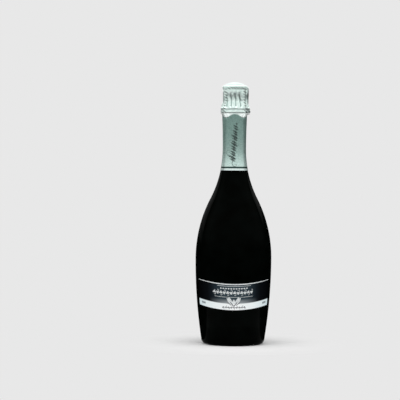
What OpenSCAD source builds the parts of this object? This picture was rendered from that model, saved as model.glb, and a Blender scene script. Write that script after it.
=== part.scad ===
// Sparkling wine bottle with its cork, wire cage, foil capsule and labels.
// Millimetres, +Z up, front label towards -Y, origin at the middle of the foot.

/* [Bottle] */
// Height of the glass from the foot to the rim
bottle_h = 306; // [255:1:345]
// Diameter at the belly, the widest place
body_d = 94; // [80:0.5:114]
// How much the radius shrinks from the belly down to the foot
foot_taper = 8.8; // [5:0.1:12]
// Radius of the rounding between the side and the foot
heel_r = 6; // [4:0.5:9]
// Radius of the round shoulder, seen from the side
shoulder_r = 162; // [130:1:200]
// Radius of the hollow sweep from the shoulder into the neck
sweep_r = 135; // [110:1:165]
// Thickness of the glass wall
glass_t = 5.2; // [4:0.1:6.3]

/* [Foot] */
// Width of the flat ring that the bottle rests on
land_w = 2.4; // [1.5:0.1:4]
// Height of the hollow under the bottle
punt_h = 34; // [20:0.5:42]
// Thickness of the glass at the top of that hollow
crown_t = 8; // [5:0.5:12]
// Height of the inside floor beside the hollow
floor_h = 13; // [10:0.5:18]
// Radius of the inside corner between the floor and the wall
floor_r = 7; // [3:0.5:10]

/* [Neck] */
// Length of the neck from its narrowest place to the rim
neck_h = 64.3; // [54:0.1:78]
// Diameter at the narrowest place
neck_d = 28.4; // [24:0.1:34]
// How much the radius grows from there up to the ring
neck_flare = 1.1; // [0.4:0.1:1.4]
// Diameter of the bore that holds the cork
bore_d = 17.5; // [14.5:0.1:21]
// Rounding of the bore's mouth
lip_r = 1.2; // [0.5:0.1:1.6]
// How far the ring that the cage holds on to stands out from the neck
ring_out = 1.6; // [1.6:0.1:3]
// Height of the ring
ring_h = 5.6; // [4.6:0.1:6.8]
// Distance from the rim down to the ring
ring_drop = 12.8; // [11:0.1:16]
// Rounding of the ring's edges
ring_edge_r = 1.6; // [0.8:0.1:1.6]
// How far the bead at the rim stays back from the neck's top
bead_back = 1; // [0.6:0.1:1.4]
// Height of the bead
bead_h = 6.5; // [4:0.1:8]
// Depth of the groove between the bead and the ring
groove_depth = 1; // [0.4:0.1:1.6]

/* [Cork] */
// Length of the cork inside the neck
plug_h = 25; // [18:0.5:30]
// Thickness of each natural disc at the cork's lower end
disc_h = 5.8; // [4:0.1:7]
// How far the head above the rim stays back from the bead
head_back = 0.1; // [0:0.1:0.4]
// Height of the head up to the edge of its top
head_h = 13.1; // [11:0.1:18]
// Rounding under the head
head_flare_r = 5; // [3:0.1:5.2]
// Rounding of the head's top edge
head_edge_r = 3; // [1.5:0.1:3.2]
// How far the head's top bulges up
head_crown = 3.6; // [2:0.1:3.8]
// Clearance between the cork and the bore
cork_gap = 0.05; // [0.02:0.01:0.1]

/* [Cage] */
// Diameter of the wire
wire_d = 1; // [0.8:0.05:1.2]
// Clearance between a wire and what it lies on
wire_gap = 0.06; // [0.04:0.01:0.1]
// Clearance between the legs and the bead
leg_gap = 0.5; // [0.3:0.1:0.7]
// Radius of the bend from the wire ring on the cap into a leg
leg_bend_r = 3.6; // [3.4:0.1:3.9]
// Width of a leg, two wires side by side
leg_w = 2; // [1.8:0.1:2.6]
// How far the metal cap reaches out past the middle of that ring's wire
cap_reach = 2; // [1.7:0.1:2.3]
// Thickness of the cap's sheet
cap_t = 0.3; // [0.2:0.05:0.4]
// How far the cap's middle bulges up
cap_crown = 3.9; // [3.8:0.1:4.1]
// Height of the cap's upturned edge
cap_edge_h = 0.7; // [0.4:0.1:0.8]
// Clearance beside each leg in the cap's notches
notch_gap = 0.3; // [0.2:0.1:0.5]
// Length of the twisted eyelet above the belt wire
eyelet_h = 9.8; // [8:0.1:10.4]
// Width of the eyelet's loop, over the middle of its wire
eyelet_w = 4.6; // [3.6:0.1:6]
// Height of the eyelet's loop, over the middle of its wire
loop_h = 5.8; // [4:0.1:6.4]

/* [Capsule] */
// Thickness of the foil
foil_t = 0.15; // [0.1:0.01:0.2]
// Clearance between the foil and what it covers
foil_gap = 0.1; // [0.06:0.01:0.14]
// Angle on the bend over the legs at which the domed top begins
dome_turn = 62; // [60:1:66]
// How far the disc that closes the top reaches past the middle of the legs' bend
disc_reach = 0.84; // [0:0.01:1.2]
// Width of the foil's edge that is folded under that disc
fold_w = 3; // [1.5:0.1:5]
// Clearance between the disc and the folded edge
fold_gap = 0.08; // [0.06:0.01:0.12]
// Height of the tear strip
strip_h = 4.2; // [3:0.1:4.4]
// How far the strip's lower edge lies below the ring
strip_drop = 1.7; // [1.6:0.1:2.2]
// Width of the perforated line on each side of the strip
tear_gap = 0.1; // [0.05:0.01:0.2]
// Length of the pull tab
tab_l = 13; // [8:0.5:18]
// Thickness of the pull tab
tab_t = 0.2; // [0.15:0.01:0.3]
// Thickness of the pull tab's fold
crease_d = 0.5; // [0.4:0.05:0.6]
// Height of the skirt's upright edge below the strip
skirt_lip = 0.6; // [0.4:0.1:1]
// Distance from the rim down to the capsule's lower edge
capsule_h = 91; // [84:0.5:100]

/* [Labels] */
// Width of the front label along its curve
front_w = 110; // [60:1:124]
// Height of the front label
front_h = 32; // [20:0.5:40]
// Height of the front label's lowest point above the foot
front_z = 45; // [30:0.5:60]
// Width of the back label along its curve
back_w = 62; // [30:1:80]
// Height of the back label
back_h = 46; // [30:0.5:60]
// Height of the back label's lowest point above the foot
back_z = 42; // [30:0.5:60]
// Radius of the round cut of the labels' long edges, seen from the front
cut_r = 186; // [150:1:400]
// Thickness of the label paper
paper_t = 0.15; // [0.1:0.01:0.2]
// Clearance between a label and the glass
glue_gap = 0.05; // [0.04:0.01:0.08]

/* [Hidden] */
$fn = 96;

// Lengths and counts of the steps along an outline
flank_step = 6;
curve_step = 3;
bend_steps = 6;
bell_steps = 16;
dome_steps = 8;
wire_sides = 10;

// The flank, the shoulder and the sweep are arcs that run smoothly into each other
belly_r = body_d / 2;
neck_r = neck_d / 2;
shoulder_c = belly_r - shoulder_r;
sweep_c = neck_r + sweep_r;
shoulder_h = sqrt(pow(shoulder_r + sweep_r, 2) - pow(sweep_c - shoulder_c, 2));
throat_z = bottle_h - neck_h;
belly_z = throat_z - shoulder_h;
flank_r = (pow(foot_taper, 2) + pow(belly_z, 2)) / (2 * foot_taper);
flank_c = belly_r - flank_r;
heel_c = flank_c + sqrt(pow(flank_r - heel_r, 2) - pow(belly_z - heel_r, 2));
heel_turn = atan2(heel_r - belly_z, heel_c - flank_c);
heel_z = heel_r * (1 + sin(heel_turn));
punt_r = heel_c - land_w;

// Places on the neck
neck_top_r = neck_r + neck_flare;
ring_high = bottle_h - ring_drop;
ring_low = ring_high - ring_h;
ring_r = neck_top_r + ring_out;
ring_edge_c = ring_r - ring_edge_r;
crest_low = ring_low + ring_edge_r;
crest_high = ring_high - ring_edge_r;
bead_low = bottle_h - bead_h;
bead_r = neck_top_r - bead_back;
groove_r = bead_r - groove_depth;
bore_r = bore_d / 2;
plug_low = bottle_h - plug_h;
bore_low = plug_low - curve_step;
head_r = bead_r - head_back;

// Places on the wires and the cap
wire_off = wire_gap + wire_d / 2;
cap_z = bottle_h + head_h;
leg_r = bead_r + leg_gap + wire_off;
top_ring_r = leg_r - leg_bend_r - wire_off;
cap_r = top_ring_r + cap_reach;
top_ring_z = cap_z + cap_t + wire_off;
crown_r = top_ring_r - wire_off;
seat_r = top_ring_r + wire_off;
belt_r = neck_top_r + wire_off;
belt_z = ring_low - wire_off;
crest_r = ring_r + wire_off;
leg_c = [seat_r, top_ring_z - leg_bend_r];
leg_out_z = bead_low - groove_depth;
leg_foot = [belt_r + 2 * wire_off, belt_z - wire_d / 2];
leg_turns = [45 : 90 : 315];

// Places on the foil
foil_off = wire_d / 2 + foil_gap;
strip_low = ring_low - strip_drop;
strip_high = strip_low + strip_h;
strip_r = crest_r + foil_off;
dome_edge = leg_c + (leg_bend_r + foil_off) * [cos(dome_turn), sin(dome_turn)];
dome_fall = dome_edge[0] / (2 * tan(dome_turn));
top_disc_r = leg_c[0] + disc_reach;
skirt_high = strip_low - tear_gap;
capsule_low = bottle_h - capsule_h;

function unit(v) = v / norm(v);

function reversed(list) = [for (i = [len(list) - 1 : -1 : 0]) list[i]];

// Points on the circle around c, from one angle to another
function arc(c, r, from, to) =
    [for (i = [0 : bend_steps]) let (a = from + (to - from) * i / bend_steps) c + r * [cos(a), sin(a)]];

// Even steps from low to high, without low itself
function levels(low, high, step) =
    let (n = ceil((high - low) / step)) [for (i = [1 : n]) low + (high - low) * i / n];

// Angle at which a straight line from p touches the circle around c, on its outer side
function touch_below(p, c, r) = atan2(p[1] - c[1], p[0] - c[0]) - acos(r / norm(p - c));
function touch_above(p, c, r) = atan2(p[1] - c[1], p[0] - c[0]) + acos(r / norm(p - c));

// Radius of the glass at height z, or of the cavity where wall is its thickness
function inflection(wall) = belly_z + shoulder_h * (shoulder_r - wall) / (shoulder_r + sweep_r);
function neck_growth(z) = neck_flare * pow((z - throat_z) / (ring_low - throat_z), 2);
function glass_r(z, wall = 0) =
    z < belly_z ? flank_c + sqrt(pow(flank_r - wall, 2) - pow(belly_z - z, 2)) :
    z < inflection(wall) ? shoulder_c + sqrt(pow(shoulder_r - wall, 2) - pow(z - belly_z, 2)) :
    z < throat_z ? sweep_c - sqrt(pow(sweep_r + wall, 2) - pow(throat_z - z, 2)) :
    neck_r - wall + (wall > 0 ? 0 : neck_growth(z));

// A rise that is level in the middle and at radius r
function bell(x, r, h) = h * (1 + cos(180 * x / r)) / 2;

// A dome that falls by h from the middle to radius r
function dome(x, r, h) = h * (1 - pow(x / r, 2));

// A line of [radius, height] points, moved by d to its left as it runs
function beside(line, d) =
    [for (i = [0 : len(line) - 1])
        let (
            from = max(i, 1),
            to = min(i, len(line) - 2),
            behind = unit(line[from] - line[from - 1]),
            ahead = unit(line[to + 1] - line[to]),
            way = unit(behind + ahead)
        )
        line[i] + [-way[1], way[0]] * d / (way * ahead)];

// The outline of a sheet whose inner side is the line
function sheet(line, thick) = concat(line, reversed(beside(line, thick)));

// The middle line of a cage leg, from the top ring down to its foot, as [radius, height]
leg_line = let (
        high_edge = [ring_edge_c, crest_high],
        low_edge = [ring_edge_c, crest_low],
        r = ring_edge_r + wire_off
    )
    concat(
        arc(leg_c, leg_bend_r, 90, 0),
        [[leg_r, leg_out_z]],
        arc(high_edge, r, touch_below([leg_r, leg_out_z], high_edge, r), 0),
        arc(low_edge, r, 0, touch_above(leg_foot, low_edge, r)),
        [leg_foot]
    );

// The foil's inner side over the bend, the legs and the ring
foil_line = concat(
    arc(leg_c, leg_bend_r + foil_off, dome_turn, 0),
    [[leg_r + foil_off, leg_out_z]],
    arc([ring_edge_c, crest_high], ring_edge_r + wire_off + foil_off,
        touch_below([leg_r + foil_off, leg_out_z], [ring_edge_c, crest_high],
            ring_edge_r + wire_off + foil_off), 0),
    [[strip_r, strip_high + tear_gap]]
);

// The foil's inner side on the domed top, from one radius to another
function dome_line(from, to) =
    [for (i = [0 : dome_steps]) let (x = from + (to - from) * i / dome_steps)
        [x, dome_edge[1] + dome(x, dome_edge[0], dome_fall)]];

// An oval wire along 3D points: side is its width along across, thick its other width
module wire(path, across, side = wire_d, thick = wire_d) {
    n = len(path);
    rings = [for (i = [0 : n - 1])
        let (
            run = unit(path[min(i + 1, n - 1)] - path[max(i - 1, 0)]),
            out = unit(cross(run, across)),
            wide = cross(out, run)
        )
        for (k = [0 : wire_sides - 1])
            let (a = 360 * k / wire_sides)
            path[i] + wide * (side / 2 * cos(a)) + out * (thick / 2 * sin(a))];
    sides = [for (i = [0 : n - 2], k = [0 : wire_sides - 1])
        let (a = i * wire_sides + k, b = i * wire_sides + (k + 1) % wire_sides)
        [a, a + wire_sides, b + wire_sides, b]];
    start = [for (k = [0 : wire_sides - 1]) k];
    end = [for (k = [wire_sides - 1 : -1 : 0]) (n - 1) * wire_sides + k];
    polyhedron(rings, concat([start, end], sides));
}

module wire_ring(r, z) {
    rotate_extrude() translate([r, z]) circle(d = wire_d, $fn = 32);
}

module disc(r, low, high) {
    translate([0, 0, low]) cylinder(r = r, h = high - low);
}

// A sheet of paper on the glass, centred on angle at, with both long edges cut round
module label(at, w, h, z) {
    turn = w / belly_r * 180 / PI;
    half = belly_r * sin(min(turn / 2, 90));
    rise = cut_r - sqrt(pow(cut_r, 2) - pow(half, 2));
    line = [for (y = concat([z], levels(z, z + h + rise, flank_step))) [glass_r(y) + glue_gap, y]];
    back = reversed([for (p = line) [p[0] + paper_t, p[1]]]);
    difference() {
        intersection() {
            rotate(at - turn / 2) rotate_extrude(angle = turn) polygon(concat(back, line));
            translate([0, 0, z + cut_r]) rotate([90, 0, 0])
                cylinder(r = cut_r, h = 2 * body_d, center = true);
        }
        translate([0, 0, z + h + cut_r]) rotate([90, 0, 0])
            cylinder(r = cut_r, h = 2 * body_d, center = true);
    }
}

module bottle_glass() {
    corner_z = floor_h + floor_r;
    corner_r = glass_r(corner_z, glass_t) - floor_r;
    outside = concat(
        [for (i = [0 : bell_steps]) let (x = punt_r * i / bell_steps) [x, bell(x, punt_r, punt_h)]],
        arc([heel_c, heel_r], heel_r, -90, heel_turn),
        [for (z = levels(heel_z, belly_z, flank_step)) [glass_r(z), z]],
        [for (z = levels(belly_z, throat_z, curve_step)) [glass_r(z), z]],
        [for (z = levels(throat_z, ring_low, flank_step)) [glass_r(z), z]],
        arc([ring_edge_c, crest_low], ring_edge_r, -90, 0),
        arc([ring_edge_c, crest_high], ring_edge_r, 0, 90),
        [[groove_r, ring_high], [groove_r, bead_low - groove_depth], [bead_r, bead_low]],
        arc([bead_r - lip_r, bottle_h - lip_r], lip_r, 0, 90)
    );
    inside = concat(
        [for (i = [0 : bell_steps]) let (x = corner_r * i / bell_steps)
            [x, floor_h + bell(x, corner_r, punt_h + crown_t - floor_h)]],
        arc([corner_r, corner_z], floor_r, -90, 0),
        [for (z = levels(corner_z, belly_z, flank_step)) [glass_r(z, glass_t), z]],
        [for (z = levels(belly_z, throat_z, curve_step)) [glass_r(z, glass_t), z]],
        [[neck_r - glass_t, bore_low - curve_step], [bore_r, bore_low]],
        arc([bore_r + lip_r, bottle_h - lip_r], lip_r, 180, 90)
    );
    color([0.04, 0.07, 0.05]) rotate_extrude() polygon(concat(outside, reversed(inside)));
}

module cork_body() {
    color([0.78, 0.62, 0.42])
        rotate_extrude() polygon(concat(
            [[0, plug_low + 2 * disc_h], [bore_r - cork_gap, plug_low + 2 * disc_h]],
            [[bore_r - cork_gap, bottle_h]],
            arc([head_r - head_flare_r, bottle_h + head_flare_r], head_flare_r, -90, 0),
            arc([head_r - head_edge_r, cap_z - head_edge_r], head_edge_r, 0, 90),
            reversed([for (i = [0 : dome_steps]) let (x = crown_r * i / dome_steps)
                [x, cap_z + dome(x, crown_r, head_crown)]])
        ));
}

module cork_disc_upper() {
    color([0.72, 0.52, 0.34]) disc(bore_r - cork_gap, plug_low + disc_h, plug_low + 2 * disc_h);
}

module cork_disc_lower() {
    color([0.66, 0.46, 0.30]) disc(bore_r - cork_gap, plug_low, plug_low + disc_h);
}

module cage_cap() {
    line = concat(
        [for (i = [0 : dome_steps]) let (x = crown_r * i / dome_steps)
            [x, cap_z + dome(x, crown_r, cap_crown)]],
        [[seat_r, cap_z], [cap_r, cap_z + cap_edge_h]]
    );
    color([0.80, 0.82, 0.80])
        difference() {
            rotate_extrude() polygon(concat(line, reversed([for (p = line) p + [0, cap_t]])));
            for (a = leg_turns)
                rotate(a) translate([top_ring_r + wire_d / 2, -leg_w / 2 - notch_gap, cap_z - cap_t])
                    cube([cap_r, leg_w + 2 * notch_gap, 3 * cap_t + cap_edge_h]);
        }
}

module cage_wire() {
    color([0.62, 0.64, 0.66])
        union() {
            wire_ring(top_ring_r, top_ring_z);
            for (a = leg_turns)
                rotate(a)
                    wire([for (p = concat([[top_ring_r, top_ring_z]], leg_line)) [p[0], 0, p[1]]],
                        [0, 1, 0], side = leg_w);
        }
}

module belt_wire() {
    color([0.62, 0.64, 0.66]) wire_ring(belt_r, belt_z);
}

// Two strands side by side that open into a loop, bent to lie along the ring like a leg
module twist_eyelet() {
    reach = [for (p = reversed(leg_line)) [p[1], p[0]]];
    strand = wire_off;
    loop_z = belt_z + eyelet_h - loop_h / 2;
    open = acos(2 * strand / eyelet_w);
    stem = [[strand, belt_z], [strand, (belt_z + loop_z - loop_h / 2) / 2]];
    loop = [for (i = [0 : 2 * bend_steps]) let (a = -open + (180 + 2 * open) * i / (2 * bend_steps))
        [eyelet_w / 2 * cos(a), loop_z + loop_h / 2 * sin(a)]];
    flat = concat(stem, loop, reversed([for (p = stem) [-p[0], p[1]]]));
    color([0.66, 0.68, 0.70])
        wire([for (p = flat) let (r = lookup(p[1], reach)) [sqrt(r * r - p[0] * p[0]), p[0], p[1]]],
            [1, 0, 0]);
}

module capsule_head() {
    line = concat(dome_line(top_disc_r - fold_w, top_disc_r), foil_line);
    color([0.74, 0.86, 0.82]) rotate_extrude() polygon(sheet(line, foil_t));
}

module capsule_top() {
    low = [for (p = dome_line(0, top_disc_r)) p + [0, foil_t + fold_gap]];
    color([0.86, 0.93, 0.90])
        rotate_extrude() polygon(concat(low, reversed([for (p = low) p + [0, foil_t]])));
}

module tear_strip() {
    color([0.80, 0.90, 0.86])
        difference() {
            disc(strip_r + foil_t, strip_low, strip_high);
            disc(strip_r, strip_low - 1, strip_high + 1);
        }
}

// The strip's free end, folded back flat; its fold stands upright and is the hinge
module pull_tab() {
    inner = strip_r + foil_t + glue_gap;
    turn = tab_l / inner * 180 / PI;
    color([0.60, 0.72, 0.68])
        rotate(90 - turn / 2) {
            translate([inner + crease_d / 2, 0, 0]) disc(crease_d / 2, strip_low, strip_high);
            translate([0, 0, strip_low]) rotate_extrude(angle = turn)
                translate([inner + (crease_d - tab_t) / 2, 0]) square([tab_t, strip_h]);
        }
}

module capsule_skirt() {
    bend_z = skirt_high - skirt_lip;
    bend_r = strip_r - glass_r(bend_z - strip_r + ring_r) - foil_gap;
    line = concat(
        [[strip_r, skirt_high]],
        arc([strip_r, bend_z - bend_r], bend_r, 90, 180),
        reversed([for (z = concat([capsule_low],
            levels(capsule_low, bend_z - 2 * bend_r, curve_step))) [glass_r(z) + foil_gap, z]])
    );
    color([0.50, 0.66, 0.61]) rotate_extrude() polygon(sheet(line, foil_t));
}

module front_label() {
    color([0.07, 0.09, 0.14]) label(-90, front_w, front_h, front_z);
}

module back_label() {
    color([0.10, 0.12, 0.17]) label(90, back_w, back_h, back_z);
}

bottle_glass();
cork_body();
cork_disc_upper();
cork_disc_lower();
cage_cap();
cage_wire();
belt_wire();
twist_eyelet();
capsule_head();
capsule_top();
tear_strip();
pull_tab();
capsule_skirt();
front_label();
back_label();
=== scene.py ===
import math

import bpy
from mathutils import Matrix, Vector, noise


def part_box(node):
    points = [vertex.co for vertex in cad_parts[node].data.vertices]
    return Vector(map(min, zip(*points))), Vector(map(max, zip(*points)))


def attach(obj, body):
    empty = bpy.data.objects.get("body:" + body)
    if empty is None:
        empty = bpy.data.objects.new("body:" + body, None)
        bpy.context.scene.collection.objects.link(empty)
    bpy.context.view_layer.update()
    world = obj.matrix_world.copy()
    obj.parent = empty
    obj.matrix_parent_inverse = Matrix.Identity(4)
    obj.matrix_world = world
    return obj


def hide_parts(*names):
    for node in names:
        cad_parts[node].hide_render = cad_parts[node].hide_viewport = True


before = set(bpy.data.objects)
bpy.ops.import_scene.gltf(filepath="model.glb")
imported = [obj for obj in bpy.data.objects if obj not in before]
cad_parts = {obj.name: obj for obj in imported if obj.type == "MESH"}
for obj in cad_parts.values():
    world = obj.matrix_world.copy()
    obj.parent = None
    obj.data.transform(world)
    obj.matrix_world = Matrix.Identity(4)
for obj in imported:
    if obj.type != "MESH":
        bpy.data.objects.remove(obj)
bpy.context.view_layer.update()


# Glass bottle: one piece of very dark green glass, blown in a mould of two halves. The mould leaves a
# fine seam up each side and small knurls round the foot. Fire polishing leaves the rest glossy.
MM = 0.001
seam_h = 0.08
glass_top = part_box("bottle_glass")[1] / MM
bottle_h = glass_top.z
belly_r = glass_top.x - seam_h
foot_taper = 8.8
heel_r = 6.0
land_w = 2.4
punt_h = 34.0
shoulder_r = 162.0
sweep_r = 135.0
neck_h = 64.3
neck_r = 14.2
neck_flare = 1.1
glass_t = 5.2
crown_t = 8.0
floor_h = 13.0
floor_r = 7.0
ring_r = 16.9
ring_h = 5.6
ring_drop = 12.8
ring_edge_r = 1.6
bead_r = 14.3
bead_h = 6.5
groove_depth = 1.0
bore_r = 8.75
lip_r = 1.2
bead_edge_r = 0.6
groove_edge_r = 0.8
plug_h = 25.0
bore_start = 6.0
bore_step = 3.0
knurls = 72
knurl_h = 0.25
nipple_h = 0.8
nipple_r = 1.8

shoulder_c = belly_r - shoulder_r
sweep_c = neck_r + sweep_r
shoulder_h = math.sqrt((shoulder_r + sweep_r) ** 2 - (sweep_c - shoulder_c) ** 2)
throat_z = bottle_h - neck_h
belly_z = throat_z - shoulder_h
flank_r = (foot_taper ** 2 + belly_z ** 2) / (2 * foot_taper)
flank_c = belly_r - flank_r
heel_c = flank_c + math.sqrt((flank_r - heel_r) ** 2 - (belly_z - heel_r) ** 2)
heel_turn = math.degrees(math.atan2(heel_r - belly_z, heel_c - flank_c))
punt_r = heel_c - land_w
ring_high = bottle_h - ring_drop
ring_low = ring_high - ring_h
bead_low = bottle_h - bead_h
plug_low = bottle_h - plug_h


def glass_radius(z, wall=0.0):
    """Radius in mm of the glass at height z, or of the cavity inside a wall."""
    bend = belly_z + shoulder_h * (shoulder_r - wall) / (shoulder_r + sweep_r)
    if z < belly_z:
        return flank_c + math.sqrt((flank_r - wall) ** 2 - (belly_z - z) ** 2)
    if z < bend:
        return shoulder_c + math.sqrt((shoulder_r - wall) ** 2 - (z - belly_z) ** 2)
    if z < throat_z:
        return sweep_c - math.sqrt((sweep_r + wall) ** 2 - (throat_z - z) ** 2)
    growth = neck_flare * ((z - throat_z) / (ring_low - throat_z)) ** 2
    return neck_r - wall + (0.0 if wall else growth)


def arc(centre, radius, start, end, steps=8):
    """Points on a circle in the outline's plane, between two angles in degrees."""
    turns = [math.radians(start + (end - start) * i / steps) for i in range(steps + 1)]
    return [(centre[0] + radius * math.cos(a), centre[1] + radius * math.sin(a)) for a in turns]


def levels(low, high, step):
    """Even heights from low, left out, to high."""
    count = max(1, math.ceil(abs(high - low) / step))
    return [low + (high - low) * i / count for i in range(1, count + 1)]


def bell(x, radius, height):
    return height * (1 + math.cos(math.pi * x / radius)) / 2


def piece(name, points, faces, material, crease=40):
    """A mesh object from points in mm, smooth but for edges sharper than crease degrees."""
    mesh = bpy.data.meshes.new(name)
    mesh.from_pydata([Vector(p) * MM for p in points], [], faces)
    mesh.shade_smooth()
    mesh.set_sharp_from_angle(angle=math.radians(crease))
    mesh.materials.append(material)
    made = bpy.data.objects.new(name, mesh)
    bpy.context.collection.objects.link(made)
    return made


def turned(outline, sides, move=None):
    """Points and faces of an outline in mm turned round Z. It closes on the axis, or else as a loop."""
    points, rings, faces = [], [], []
    for row, (r, z) in enumerate(outline):
        on_axis = r < 1e-6
        ring = []
        for k in range(1 if on_axis else sides):
            a = 2 * math.pi * k / sides
            place = (r, z) if on_axis or move is None else move(a, r, z, row)
            ring.append(len(points))
            points.append((place[0] * math.cos(a), place[0] * math.sin(a), place[1]))
        rings.append(ring)
    if len(rings[0]) > 1:
        rings.append(rings[0])
    for low, high in zip(rings, rings[1:]):
        for k in range(sides):
            n = (k + 1) % sides
            if len(low) == 1:
                faces.append((low[0], high[n], high[k]))
            elif len(high) == 1:
                faces.append((low[k], low[n], high[0]))
            else:
                faces.append((low[k], low[n], high[n], high[k]))
    return points, faces


def linear(code):
    """Linear RGBA of an sRGB hex colour."""
    parts = [int(code[i:i + 2], 16) / 255 for i in (1, 3, 5)]
    return [c / 12.92 if c <= 0.04045 else ((c + 0.055) / 1.055) ** 2.4 for c in parts] + [1.0]


def add(material, kind, sockets=None, stops=None, **settings):
    """Adds a node. A socket's value is a number, a colour, a node or (node, output name)."""
    made = material.node_tree.nodes.new("ShaderNode" + kind)
    for key, value in settings.items():
        setattr(made, key, value)
    for key, value in (sockets or {}).items():
        if isinstance(value, bpy.types.Node):
            value = (value, 0)
        if isinstance(value, tuple) and isinstance(value[0], bpy.types.Node):
            material.node_tree.links.new(value[0].outputs[value[1]], made.inputs[key])
        else:
            made.inputs[key].default_value = value
    for i, (at, colour) in enumerate(stops or []):
        ramp = made.color_ramp.elements
        stop = ramp[i] if i < 2 else ramp.new(at)
        stop.position = at
        stop.color = linear(colour) if isinstance(colour, str) else (colour, colour, colour, 1)
    return made


def surface(name):
    """A new material without nodes, for add to fill."""
    made = bpy.data.materials.new(name)
    made.use_nodes = True
    made.node_tree.nodes.clear()
    return made


# Fire-polished dark glass: black with a trace of green, so dark that its wall passes no light. The skin
# ripples a little from the mould and holds a film of dust, which the roughness follows.
dark_glass = surface("fire_polished_dark_glass")
place = add(dark_glass, "TexCoord")
ripple = add(dark_glass, "TexNoise", {"Vector": (place, "Object"), "Scale": 1 / 0.016, "Detail": 1.0})
dust = add(dark_glass, "TexNoise", {"Vector": (place, "Object"), "Scale": 1 / 0.004, "Detail": 6.0})
film = add(dark_glass, "ValToRGB", {"Fac": dust}, stops=[(0.35, 0.07), (0.75, 0.13)])
tint = add(dark_glass, "ValToRGB", {"Fac": ripple}, stops=[(0.3, "#010201"), (0.7, "#030504")])
relief = add(dark_glass, "Bump", {"Height": ripple, "Strength": 0.12, "Distance": 0.0004})
shader = add(dark_glass, "BsdfPrincipled", {
    "Base Color": tint, "Roughness": film, "IOR": 1.52, "Specular IOR Level": 0.01, "Normal": relief})
add(dark_glass, "OutputMaterial", {"Surface": shader})

corner_z = floor_h + floor_r
corner_r = glass_radius(corner_z, glass_t) - floor_r
steps = 20
outside = [(punt_r * i / steps, bell(punt_r * i / steps, punt_r, punt_h)) for i in range(steps)]
outside += [(punt_r + land_w * i / 4, 0.0) for i in range(4)]
outside += arc((heel_c, heel_r), heel_r, -90, heel_turn, 12)
outside += [(glass_radius(z), z) for z in levels(outside[-1][1], belly_z, 5)]
outside += [(glass_radius(z), z) for z in levels(belly_z, throat_z, 3)]
outside += [(glass_radius(z), z) for z in levels(throat_z, ring_low, 5)]
outside += arc((ring_r - ring_edge_r, ring_low + ring_edge_r), ring_edge_r, -90, 0)
outside += arc((ring_r - ring_edge_r, ring_high - ring_edge_r), ring_edge_r, 0, 90)
outside += arc(
    (bead_r - groove_depth + groove_edge_r, ring_high + groove_edge_r), groove_edge_r, 270, 180, 4)
outside += [(bead_r - groove_depth, bead_low - groove_depth)]
outside += arc((bead_r - bead_edge_r, bead_low + bead_edge_r / 2), bead_edge_r, -45, 0, 3)
outside += arc((bead_r - lip_r, bottle_h - lip_r), lip_r, 0, 90)
inside = [
    (corner_r * i / 12, floor_h + bell(corner_r * i / 12, corner_r, punt_h + crown_t - floor_h))
    for i in range(12)]
inside += arc((corner_r, corner_z), floor_r, -90, 0, 6)
inside += [(glass_radius(z, glass_t), z) for z in levels(corner_z, belly_z, 8)]
inside += [(glass_radius(z, glass_t), z) for z in levels(belly_z, throat_z, 5)]
inside += [(neck_r - glass_t, plug_low - bore_start), (bore_r, plug_low - bore_step)]
inside += arc((bore_r + lip_r, bottle_h - lip_r), lip_r, 180, 90, 6)


def mould_marks(a, r, z, row):
    """The two seams, the knurls on the foot and the nipple in the hollow."""
    if row >= len(outside):
        return r, z
    if z > heel_r / 2 and z < bottle_h - lip_r and abs(math.sin(a)) < 1e-6:
        r += seam_h
    if r > punt_r - 0.1 and z < 0.01:
        z += knurl_h * (1 - math.cos(knurls * a)) / 2
    if r < 3 * nipple_r and z > punt_h / 2:
        z -= nipple_h * math.exp(-(r / nipple_r) ** 2)
    return r, z


glass_points, glass_faces = turned(outside + inside[::-1], 4 * knurls, mould_marks)
glass = piece("glass_bottle", glass_points, glass_faces, dark_glass, 50)
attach(glass, "bottle")
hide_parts("bottle_glass")


# Cork: a plug of pressed cork grains with two glued discs of natural cork below, which meet the wine.
# The plug is squeezed into the bore, and its head swells over the rim, where the cage dents it.
cork_gap = 0.05
plug_r = bore_r - cork_gap
disc_h = 5.8
head_back = 0.1
head_r = bead_r - head_back
head_h = 13.1
head_flare_r = 5.0
head_edge_r = 3.0
crown_r = 10.64
head_crown = 3.6
cap_z = bottle_h + head_h
leg_turns = (45, 135, 225, 315)
dent_depth = 0.35
dent_w = 1.4
head_grain = 1.8
grain_depth = 0.12


def smooth(low, high, x):
    """0 up to low, 1 from high on, and a smooth rise between."""
    t = min(max((x - low) / (high - low), 0.0), 1.0)
    return t * t * (3 - 2 * t)


def turn_from(a, degrees):
    """Signed angle in radians from a direction in degrees to the angle a."""
    return (a - math.radians(degrees) + math.pi) % (2 * math.pi) - math.pi


def rough(a, r, z):
    """Noise from -1 to 1 over the grains of the cork's head."""
    return noise.noise(Vector((r * math.cos(a), r * math.sin(a), z)) / head_grain)


def cork_head(a, r, z, row):
    """Uneven grain on the head, and a dent under each leg of the cage."""
    if z < bottle_h + 0.5:
        return r, z
    r -= grain_depth + grain_depth * rough(a, r, z)
    rise = smooth(cap_z - 7, cap_z - 1, z) * smooth(8, 12, r)
    for turn in leg_turns:
        r -= dent_depth * rise * math.exp(-(turn_from(a, turn) * r / dent_w) ** 2)
    return r, z


def disc_outline(low, high, bevel):
    r = plug_r
    return [(0, low), (r - bevel, low), (r, low + bevel), (r, high - bevel), (r - bevel, high), (0, high)]


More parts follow.
